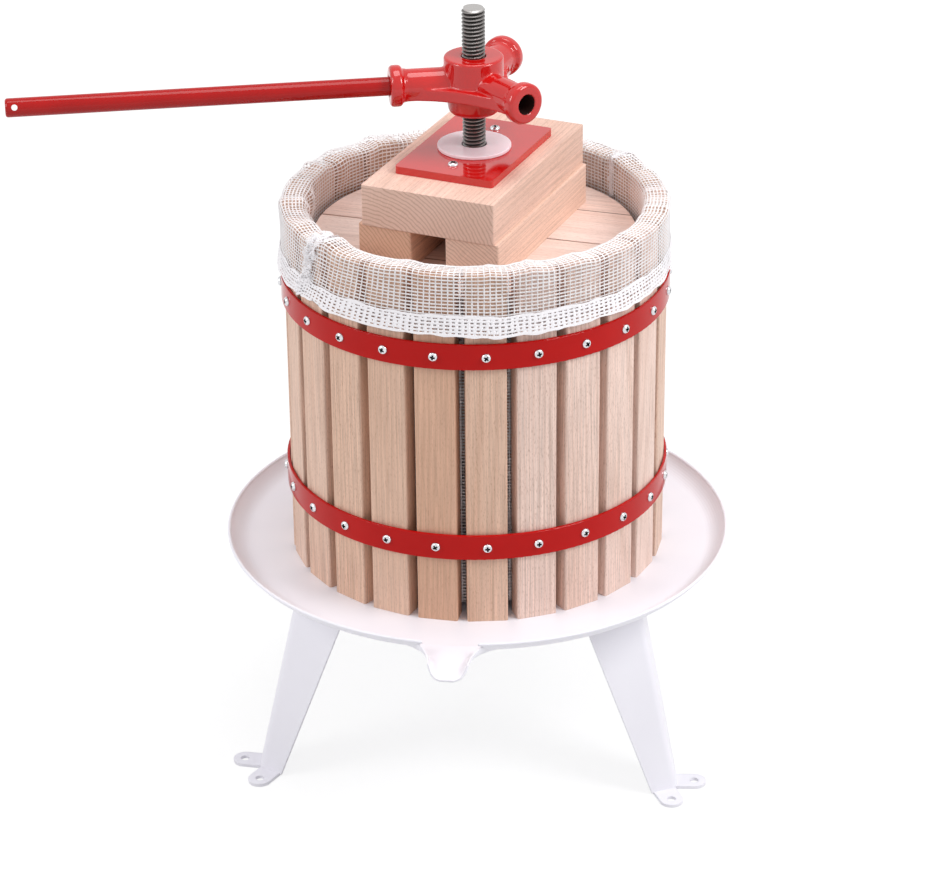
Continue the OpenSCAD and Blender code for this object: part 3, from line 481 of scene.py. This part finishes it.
# piece, material, grain, pith to the side of and below the middle, pale and deep tone, ring width, contrast, planks
stackWood = [
    ("pressure_block", "beechBlock", stackTurn, -0.052, 0.056, "#F0CDBD", "#E5C0AE", 3.1 * mm, 0.85, 0.0),
    ("cross_beam_left", "beechBeamLeft", stackTurn, -0.15, 0.09, "#E9BFA6", "#DCAE92", 2.8 * mm, 1.0, 0.0),
    ("cross_beam_right", "beechBeamRight", stackTurn, -0.06, 0.12, "#F2D1C0", "#E8C3AF", 2.8 * mm, 0.85, 0.0),
    ("press_board_front", "beechBoardFront", boardTurn, 0.02, 0.09, "#F6E0D6", "#EFD2C6", 5.0 * mm, 0.7,
     stackSpec["plankWidth"]),
    ("press_board_rear", "beechBoardRear", boardTurn, -0.03, 0.11, "#F4DBD1", "#EDCEC1", 5.5 * mm, 0.7,
     stackSpec["plankWidth"]),
]
for name, material, turn, side, below, pale, deep, ring, contrast, plankWidth in stackWood:
    middle = (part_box(name)[0].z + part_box(name)[1].z) / 2
    dress([name], beech(material, turn, (side, below - middle), pale, deep, ring, contrast, plankWidth))
print("beech on", len(staveNames), "staves and the stack")

# Real thread on the screw: a right-hand helix with flat crests, run out at the chamfered top
thread = {"pitch": 3.0 * mm, "root": 7.6 * mm, "steps": 40, "chamfer": 1.6 * mm, "cut": 1.2 * mm,
          "profile": [(0.0, 0), (0.1, 0), (0.45, 1), (0.65, 1)]}


def threadMesh():
    low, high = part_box("screw_spindle")
    crest, root, pitch, steps = high.x, thread["root"], thread["pitch"], thread["steps"]
    perTurn = len(thread["profile"])
    turns = int((high.z - low.z) / pitch) + 3
    rows = turns * perTurn
    points = np.zeros((steps, rows, 3))
    for i in range(steps):
        angle = 2 * math.pi * i / steps
        for k in range(rows):
            share, up = thread["profile"][k % perTurn]
            z = low.z + pitch * (k // perTurn - 1 + share + i / steps)
            radius = root + (crest - root) * up
            if z >= high.z or z <= low.z:
                z, radius = min(max(z, low.z), high.z), root
            radius = min(radius, max(root, crest - thread["chamfer"] + (high.z - z)))
            points[i, k] = (radius * math.cos(angle), radius * math.sin(angle), z)
    faces = []
    for i in range(steps):
        j = (i + 1) % steps
        jump = perTurn if j == 0 else 0
        for k in range(rows - 1 - jump):
            faces.append((i * rows + k, j * rows + k + jump, j * rows + k + jump + 1, i * rows + k + 1))
    mesh = meshFrom("screwThread", points.reshape(-1, 3), faces, False)
    work = bmesh.new()
    work.from_mesh(mesh)
    bmesh.ops.remove_doubles(work, verts=work.verts, dist=weld)
    bmesh.ops.dissolve_degenerate(work, edges=work.edges, dist=weld)
    openEdges = [e for e in work.edges if e.is_boundary]
    bmesh.ops.holes_fill(work, edges=openEdges, sides=0)
    bmesh.ops.recalc_face_normals(work, faces=work.faces)
    work.to_mesh(mesh)
    work.free()
    return mesh


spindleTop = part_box("screw_spindle")[1]
threadSteel = rolledThread(thread["root"], spindleTop.x, spindleTop.z - thread["cut"])
screwThread = addPiece("screwThread", threadMesh(), threadSteel, "frame")
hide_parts("screw_spindle")
print("thread:", len(screwThread.data.polygons), "faces")

# Pan head screws with a cross recess, one mesh for each set
panHead = {"radius": 3.7 * mm, "height": 2.4 * mm, "recess": 2.3 * mm, "slot": 1.45 * mm, "depth": 1.6 * mm,
           "sides": 28, "bladeTop": 1.2, "taper": 0.55, "crease": 38,
           "outline": [(1.0, 0.0), (1.0, 0.18), (0.965, 0.42), (0.87, 0.68), (0.70, 0.87), (0.45, 0.97), (0.2, 1.0)]}


def panHeadMesh():
    rings, sides = panHead["outline"], panHead["sides"]
    points = [(panHead["radius"] * r * math.cos(2 * math.pi * i / sides),
               panHead["radius"] * r * math.sin(2 * math.pi * i / sides), panHead["height"] * h)
              for r, h in rings for i in range(sides)]
    faces = [(k * sides + i, k * sides + (i + 1) % sides, (k + 1) * sides + (i + 1) % sides, (k + 1) * sides + i)
             for k in range(len(rings) - 1) for i in range(sides)]
    faces.append(tuple(range((len(rings) - 1) * sides, len(rings) * sides)))
    faces.append(tuple(reversed(range(sides))))
    head = bpy.data.objects.new("panHead", meshFrom("panHead", points, faces))
    scene.collection.objects.link(head)
    cutters = []
    for quarter in (0, 1):
        top, low = panHead["height"] * panHead["bladeTop"], panHead["height"] - panHead["depth"]
        wide, thin = panHead["recess"], panHead["slot"] / 2
        corners = [(x * wide * s, y * thin, z) for z, s in ((low, panHead["taper"]), (top, 1.0))
                   for x, y in ((-1, -1), (1, -1), (1, 1), (-1, 1))]
        box = [(3, 2, 1, 0), (4, 5, 6, 7), (0, 1, 5, 4), (1, 2, 6, 5), (2, 3, 7, 6), (3, 0, 4, 7)]
        blade = bpy.data.objects.new("blade", meshFrom("blade", corners, box, False))
        blade.rotation_euler.z = math.pi / 2 * quarter
        scene.collection.objects.link(blade)
        cutters.append(blade)
        cut = head.modifiers.new("cross", "BOOLEAN")
        cut.operation, cut.solver, cut.object = "DIFFERENCE", "EXACT", blade
    bpy.context.view_layer.update()
    made = bpy.data.meshes.new_from_object(head.evaluated_get(bpy.context.evaluated_depsgraph_get()))
    for spare in cutters + [head]:
        bpy.data.objects.remove(spare)
    return made


headMesh = panHeadMesh()
headPoints = np.array([v.co for v in headMesh.vertices])
headFaces = [tuple(p.vertices) for p in headMesh.polygons]
dome = np.array(sorted(panHead["outline"]))
# 1 for the faces in the cross recess, which get the painted shade: under the dome, inside its edge and above the seat
sunk = {"inside": 0.85, "seat": 0.05 * mm, "under": 0.12 * mm}
headSunk = []
for face in headFaces:
    middle = headPoints[list(face)].mean(axis=0)
    reach = math.hypot(middle[0], middle[1]) / panHead["radius"]
    skin = np.interp(reach, dome[:, 0], dome[:, 1]) * panHead["height"]
    headSunk.append(int(reach < sunk["inside"] and sunk["seat"] < middle[2] < skin - sunk["under"]))


def screwSet(name, places, body, node, speckle=1.0):
    points, faces = [], []
    for place in places:
        start = len(points)
        rows = np.array(place)
        points.extend((headPoints * speckle) @ rows[:3, :3].T + rows[:3, 3])
        faces.extend(tuple(start + v for v in f) for f in headFaces)
    mesh = meshFrom(name, points, faces)
    work = bmesh.new()
    work.from_mesh(mesh)
    for e in work.edges:
        e.smooth = e.is_manifold and e.calc_face_angle(0) < math.radians(panHead["crease"])
    work.to_mesh(mesh)
    work.free()
    piece = addPiece(name, mesh, headZinc, body)
    # the second material paints shade into the cross recess
    mesh.materials.append(recessShadeZinc)
    mesh.polygons.foreach_set("material_index", headSunk * len(places))
    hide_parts(node)
    return piece


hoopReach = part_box("upper_hoop")[1].x
for hoop in ("lower_hoop", "upper_hoop"):
    low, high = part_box(hoop)
    middle = (low.z + high.z) / 2
    places = []
    for name in staveNames:
        out = Matrix.Rotation(staveAngles[name], 4, "Z")
        drive = Matrix.Rotation(math.radians(draw.uniform(0, 90)), 4, "Z")
        places.append(out @ Matrix.Translation((hoopReach, 0, middle)) @ Matrix.Rotation(math.pi / 2, 4, "Y") @ drive)
    screwSet(hoop + "_heads", places, "frame", hoop + "_screws")
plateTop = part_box("pressure_plate")[1].z
plateScrew = {"out": 40.5 * mm, "speckle": 4.0 / 3.7, "drive": 30}
plateTurn = Matrix.Rotation(math.radians(stackSpec["turn"]), 4, "Z")
places = [plateTurn @ Matrix.Translation((0, side * plateScrew["out"], plateTop))
          @ Matrix.Rotation(math.radians(plateScrew["drive"] * side), 4, "Z") for side in (-1, 1)]
screwSet("plate_screw_heads", places, "press_stack", "plate_screws", plateScrew["speckle"])
print("screw heads")

# The casting: the CAD nut with the soft fillets that a sand mould leaves
casting = {"voxel": 0.75 * mm, "soften": 0.5, "passes": 7,
           "sockets": (74, 194, 314), "bore": 8.4 * mm, "boreStart": 20 * mm, "boreFacing": 0.4}


def castingMesh():
    work = bmesh.new()
    work.from_mesh(nodes["handle_nut"].data)
    bmesh.ops.remove_doubles(work, verts=work.verts, dist=weld)
    rough = bpy.data.meshes.new("castNut")
    work.to_mesh(rough)
    work.free()
    blank = bpy.data.objects.new("castBlank", rough)
    scene.collection.objects.link(blank)
    remesh = blank.modifiers.new("voxels", "REMESH")
    remesh.mode, remesh.voxel_size = "VOXEL", casting["voxel"]
    soften = blank.modifiers.new("soften", "SMOOTH")
    soften.factor, soften.iterations = casting["soften"], casting["passes"]
    bpy.context.view_layer.update()
    made = bpy.data.meshes.new_from_object(blank.evaluated_get(bpy.context.evaluated_depsgraph_get()))
    bpy.data.objects.remove(blank)
    made.polygons.foreach_set("use_smooth", [True] * len(made.polygons))
    return made


castNut = addPiece("castHandleNut", castingMesh(), castEnamel, "handle_nut")
castNut.data.materials.append(boreShade())
middle = (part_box("handle_bar")[0].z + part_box("handle_bar")[1].z) / 2
# faces inside the socket bores that face inward get the painted shade
for face in castNut.data.polygons:
    spot = face.center - Vector((0, 0, middle))
    for turn in casting["sockets"]:
        out = Vector((math.cos(math.radians(turn)), math.sin(math.radians(turn)), 0))
        far = spot.dot(out)
        inBore = far > casting["boreStart"] and (spot - out * far).length < casting["bore"]
        if inBore and face.normal.dot(out) < casting["boreFacing"]:
            face.material_index = 1
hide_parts("handle_nut")
print("casting:", len(castNut.data.polygons), "faces")

# Net bag: knitted net with oblong holes. It lines the basket and folds over the rim, with a hem and two seams.
net = {
    "cellAcross": 4.1 * mm, "cellAlong": 2.75 * mm, "holeAcross": 0.79, "holeAlong": 0.60,
    "uneven": 0.06, "unevenMost": 1.5, "ridge": 0.25 * mm,
    "joinZ": 405 * mm, "overlap": 2 * mm, "floorGap": 0.6 * mm, "lining": 131.9 * mm, "middle": 0.143,
    "seamAngles": (222.0, 40.0), "seamLean": 6.0, "crowding": [(1.1, 5), (0.4, 2.5)],
    "fineSteps": 1200, "easing": 25, "turnSteps": 7201,
    # radius and height of the cloth in mm, from the hem up over the staves and down inside
    "outline": [(151.6, 421.5), (151.4, 430), (151.2, 440), (151.1, 450), (151.2, 458), (151.4, 464), (151.6, 468.2),
                (150.6, 470.8), (147.5, 471.4), (142.5, 471.1), (137.0, 470.9), (133.4, 470.6), (131.6, 468.0),
                (131.3, 463.5), (131.6, 456), (131.9, 448), (131.9, 438), (131.9, 424), (131.9, 405)],
}


def outlineAt(step):
    # even steps along the outline, with its corners eased
    line = np.array(net["outline"]) * mm
    far = np.concatenate([[0], np.cumsum(np.linalg.norm(np.diff(line, axis=0), axis=1))])
    fine = np.linspace(0, far[-1], net["fineSteps"])
    eased = np.stack([np.interp(fine, far, line[:, k]) for k in (0, 1)], axis=1)
    width = net["easing"]
    padded = np.concatenate([eased[:1].repeat(width, 0), eased, eased[-1:].repeat(width, 0)])
    window = np.ones(2 * width + 1) / (2 * width + 1)
    eased = np.stack([np.convolve(padded[:, k], window, "valid") for k in (0, 1)], axis=1)
    count = max(2, int(round(far[-1] / step)))
    at = np.linspace(0, far[-1], count + 1)
    return np.stack([np.interp(at, fine, eased[:, k]) for k in (0, 1)], axis=1), at


def bell(angle, centre, width):
    off = (angle - math.radians(centre) + math.pi) % (2 * math.pi) - math.pi
    return np.exp(-(off / math.radians(width)) ** 2)


# ripples of the rim and the hem: angle, width in degrees and height in mm
ripples = np.random.RandomState(5)
rimBumps = [(ripples.uniform(0, 360), ripples.uniform(1.4, 4.0), ripples.uniform(-0.9, 2.6)) for _ in range(44)]
hemBumps = [(ripples.uniform(0, 360), ripples.uniform(2.5, 7.0), ripples.uniform(-1.6, 1.4)) for _ in range(22)]

# How the cloth lies. Places are in metres, a band is (low, rise, top, fade), a wave (mm, count, start), a fold
# (mm, angle, width) and a crease (size, radians a degree round, radians a metre up).
lie = {
    "outsideFrom": 0.1492, "dropTop": 0.468, "dropLong": 0.047, "rimZ": 0.4697, "rimReach": 0.012, "bumpOut": 0.3,
    "collarOut": 0.35, "collarWaves": [(0.3, 9, 1.0), (0.25, 17, 0.4), (0.2, 29, 2.0)],
    "gapSink": 0.35, "gapRise": 0.25, "rimRise": 0.15,
    "slackTo": 0.1335, "slackBand": (0.405, 0.03, 0.467, 0.02),
    "slackIn": 0.5, "slackWaves": [(0.4, 11, 0.7), (0.3, 23, 0)],
    # folds that hang inside at the left
    "looseTo": 0.1345, "looseBand": (0.443, 0.012, 0.470, 0.006),
    "looseFolds": [(4.4, 199, 2.6), (3.4, 189, 2.4), (4.2, 177, 3), (2.4, 150, 3)],
    # the bunch at the front left seam, on the collar and on the rim
    "bunchWidth": 4.5, "bunchOut": (1.1, 0.7), "bunchUp": (1.5, 1.2), "bunchMean": 1.1, "leanWidth": 26,
    "creases": [(1.0, 2.9, 0), (0.6, 1.7, 260)],
}


def waves(angle, terms):
    return sum(size * np.sin(count * angle + start) for size, count, start in terms)


def band(height, limits):
    low, rise, top, fade = limits
    return np.clip((top - height) / fade, 0, 1) * np.clip((height - low) / rise, 0, 1)


def clothAt(angle, radius, height):
    # angle, radius and height are arrays of one shape
    outside = radius > lie["outsideFrom"]
    drop = np.clip((lie["dropTop"] - height) / lie["dropLong"], 0, 1)
    collar = np.where(outside, drop, 0)
    slack = np.where(radius < lie["slackTo"], band(height, lie["slackBand"]), 0)
    loose = np.where(radius < lie["looseTo"], band(height, lie["looseBand"]), 0)
    rim = 1 - np.clip(np.abs(height - lie["rimZ"]) / lie["rimReach"], 0, 1)
    gaps = np.cos(len(staveNames) * (angle - staveAngles[staveNames[0]]))
    dr = collar * (lie["collarOut"] + waves(angle, lie["collarWaves"]))
    dr = dr + np.where(outside, 1 - drop, 0) * lie["gapSink"] * gaps
    dr = dr - slack * (lie["slackIn"] + waves(angle, lie["slackWaves"]))
    dr = dr - loose * sum(deep * bell(angle, centre, width) for deep, centre, width in lie["looseFolds"])
    dz = rim * (lie["rimRise"] + lie["gapRise"] * gaps)
    for centre, width, tall in rimBumps:
        dz = dz + rim * tall * bell(angle, centre, width)
        dr = dr + rim * np.where(outside, lie["bumpOut"], -lie["bumpOut"]) * abs(tall) * bell(angle, centre, width)
    for centre, width, tall in hemBumps:
        dz = dz + collar ** 2 * tall * bell(angle, centre, width)
        dr = dr + collar * lie["bumpOut"] * abs(tall) * bell(angle, centre, width)
    # the cloth is bunched at the front left seam, and its columns lean there
    bunch = bell(angle, net["seamAngles"][0], lie["bunchWidth"])
    crease = sum(size * np.sin(np.degrees(angle) * often + height * climb) for size, often, climb in lie["creases"])
    dr = dr + (collar * lie["bunchOut"][0] + rim * lie["bunchOut"][1]) * bunch * (lie["bunchMean"] + crease)
    dz = dz + (collar * lie["bunchUp"][0] + rim * lie["bunchUp"][1]) * bunch
    turned = angle - math.radians(net["seamLean"]) * bell(angle, net["seamAngles"][0], lie["leanWidth"]) * collar
    return turned, radius + dr * mm, height + dz * mm


def spreadAngles(count):
    # columns crowd together at the seams
    fine = np.linspace(0, 2 * math.pi, net["turnSteps"])
    dense = np.ones(len(fine))
    for centre, (more, width) in zip(net["seamAngles"], net["crowding"]):
        dense = dense + more * bell(fine, centre, width)
    total = np.concatenate([[0], np.cumsum((dense[1:] + dense[:-1]) / 2)])
    return np.interp(np.arange(count) / count, total / total[-1], fine)


def netMesh(name, points, holeAcross, holeAlong, closed, ridge):
    # points is a grid of (column, row): a frame of four faces round each hole, raised along the yarns
    columns, rows = points.shape[:2]
    right = np.roll(points, -1, 0) - np.roll(points, 1, 0) if closed else np.gradient(points, axis=0)
    up = np.gradient(points, axis=1)
    normal = np.cross(right, up)
    normal /= np.linalg.norm(normal, axis=2, keepdims=True) + 1e-12
    yarn = points + normal * ridge
    low = points - normal * ridge
    step = np.arange(columns) if closed else np.arange(columns - 1)
    nextStep = (step + 1) % columns
    wide = np.broadcast_to(holeAcross, (len(step), rows - 1))
    tall = np.broadcast_to(holeAlong, (len(step), rows - 1))
    verts = [yarn.reshape(-1, 3)]
    faces = []
    grid = np.arange(columns * rows).reshape(columns, rows)
    base = columns * rows
    for j in range(rows - 1):
        corner = [grid[step, j], grid[nextStep, j], grid[nextStep, j + 1], grid[step, j + 1]]
        if tall[:, j].max() <= 0:
            faces.append(np.stack(corner, axis=1))
            continue
        a, b = (1 - wide[:, j, None]) / 2, (1 - tall[:, j, None]) / 2
        p00, p10, p11, p01 = low[step, j], low[nextStep, j], low[nextStep, j + 1], low[step, j + 1]
        inner = []
        for u, v in ((a, b), (1 - a, b), (1 - a, 1 - b), (a, 1 - b)):
            verts.append(p00 * (1 - u) * (1 - v) + p10 * u * (1 - v) + p11 * u * v + p01 * (1 - u) * v)
            inner.append(base + np.arange(len(step)))
            base += len(step)
        for k in range(4):
            m = (k + 1) % 4
            faces.append(np.stack([corner[k], corner[m], inner[m], inner[k]], axis=1))
    return meshFrom(name, np.concatenate(verts), np.concatenate(faces).tolist())


def softNoise(shape, passes):
    # random values, smoothed over their neighbours and brought to a spread of 1
    value = ripples.normal(size=shape)
    for _ in range(passes):
        for axis in range(len(shape)):
            value = (np.roll(value, 1, axis) + 2 * value + np.roll(value, -1, axis)) / 4
    return value / value.std()


def uneven(size, angles, line):
    # hole sizes that differ a little from cell to cell, as in net that has been pulled about
    most = net["unevenMost"]
    return size + net["uneven"] * np.clip(softNoise((len(angles), len(line) - 1), 1), -most, most)


def wrapped(angle, line, lift=0.0):
    # the outline swept round at these angles, laid loose, and lifted off the cloth by lift
    angle = angle if angle.ndim == 2 else np.repeat(angle[:, None], len(line), axis=1)
    radius, height = (np.repeat(line[None, :, k], len(angle), axis=0) for k in (0, 1))
    angle, radius, height = clothAt(angle, radius, height)
    along = np.gradient(line, axis=0)
    along /= np.linalg.norm(along, axis=1, keepdims=True)
    radius = radius + lift * along[None, :, 1]
    height = height - lift * along[None, :, 0]
    return np.stack([radius * np.cos(angle), radius * np.sin(angle), height], axis=2)


upperLine, upperRun = outlineAt(net["cellAlong"])
upperWidth = 2 * math.pi * net["middle"]
upperAngles = spreadAngles(int(round(upperWidth / net["cellAcross"])))
netUpper = addPiece("netUpper", netMesh("netUpper", wrapped(upperAngles, upperLine),
                                        uneven(net["holeAcross"], upperAngles, upperLine),
                                        uneven(net["holeAlong"], upperAngles, upperLine),
                                        True, net["ridge"]), netWhite, "frame")

# Doubled hem: its small holes only half meet those of the cloth behind, and its edges are a little ragged
hem = {"rows": [0, 1.4, 4.2, 7.0, 9.8, 12.6, 14.8, 16.2], "holes": [0, 0.36, 0.42, 0.44, 0.40, 0.34, 0],
       "lift": [2.6, 2.5, 2.25, 1.9, 1.5, 1.1, 0.7, 0.35], "ragged": 0.6 * mm,
       "wide": 0.46, "spread": 0.18, "wideRange": (0.12, 0.82), "ridge": 0.18 * mm}
hemAt = np.stack([np.interp(np.array(hem["rows"]) * mm, upperRun, upperLine[:, k]) for k in (0, 1)], axis=1)
hemAngles = upperAngles + (np.roll(upperAngles, -1) - upperAngles) % (2 * math.pi) / 2
hemPoints = wrapped(hemAngles, hemAt, np.array(hem["lift"]) * mm)
hemPoints[:, 0, 2] += hem["ragged"] * softNoise((len(hemAngles),), 1)
hemPoints[:, -1, 2] += hem["ragged"] * softNoise((len(hemAngles),), 1)
hemWide = np.clip(hem["wide"] + hem["spread"] * softNoise((len(hemAngles), len(hemAt) - 1), 0), *hem["wideRange"])
netHem = addPiece("netHem", netMesh("netHem", hemPoints, hemWide, hem["holes"], True, hem["ridge"]), brightenedNet,
                  "frame")

# Side seams: gathered ribbons of cloth with lumps and ragged edges, thick at the front left and thin behind
seam = {"columns": 10, "step": 1.5 * mm, "ragged": 0.34, "thinning": 0.6, "lumpRange": (-1.2, 1.6),
        "holeAcross": 0.5, "holeAlong": 0.42, "ridge": 0.2 * mm,
        "ribbons": [{"width": 12 * mm, "lump": 1.3 * mm, "lift": 1.3 * mm},
                    {"width": 6 * mm, "lump": 0.4 * mm, "lift": 0.8 * mm}]}
seamLine = outlineAt(seam["step"])[0]
for k, ribbon in enumerate(seam["ribbons"]):
    across = np.linspace(-1, 1, seam["columns"])[:, None]
    ragged = 1 + seam["ragged"] * softNoise((len(across), len(seamLine)), 1)
    strip = math.radians(net["seamAngles"][k]) + ribbon["width"] / 2 / net["middle"] * across * ragged
    lumps = ribbon["lump"] * np.clip(softNoise(ragged.shape, 1), *seam["lumpRange"])
    lumps = lumps + ribbon["lift"] * (1 - seam["thinning"] * across ** 2)
    ribbonMesh = netMesh(f"netSeam{k + 1}", wrapped(strip, seamLine, lumps), seam["holeAcross"], seam["holeAlong"],
                         False, seam["ridge"])
    addPiece(f"netSeam{k + 1}", ribbonMesh, brightenedNet, "frame")

# Lower lining, which overlaps the upper cloth a little
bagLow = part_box("filter_bag")[0].z + net["floorGap"]
lowerRows = np.arange(net["joinZ"] + net["overlap"], bagLow, -net["cellAlong"])
lowerLine = np.stack([np.full(len(lowerRows), net["lining"]), lowerRows], axis=1)
lowerCount = int(round(2 * math.pi * net["lining"] / net["cellAcross"]))
lowerAngles = np.arange(lowerCount) / lowerCount * 2 * math.pi
netLower = addPiece("netLower", netMesh("netLower", wrapped(lowerAngles, lowerLine),
                                        uneven(net["holeAcross"], lowerAngles, lowerLine),
                                        uneven(net["holeAlong"], lowerAngles, lowerLine),
                                        True, net["ridge"]), netWhite, "frame")

# Round bottom with a hole for the screw
bottom = {"rows": 30, "columns": 136, "holeAcross": 0.75, "holeAlong": 0.57}
bagHole = 26.2 * mm
baseRows = np.linspace(net["lining"], bagHole, bottom["rows"])
baseAngles = np.arange(bottom["columns"]) / bottom["columns"] * 2 * math.pi
angle, radius = np.meshgrid(baseAngles, baseRows, indexing="ij")
basePoints = np.stack([radius * np.cos(angle), radius * np.sin(angle), np.full_like(radius, bagLow)], axis=2)
baseMesh = netMesh("netBase", basePoints, bottom["holeAcross"], bottom["holeAlong"], True, net["ridge"])
netBase = addPiece("netBase", baseMesh, netWhite, "frame")
for piece in (netUpper, netLower, netBase):
    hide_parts("filter_bag")
print("net:", sum(len(p.data.polygons) for p in (netUpper, netHem, netLower, netBase)), "faces")

print("done")
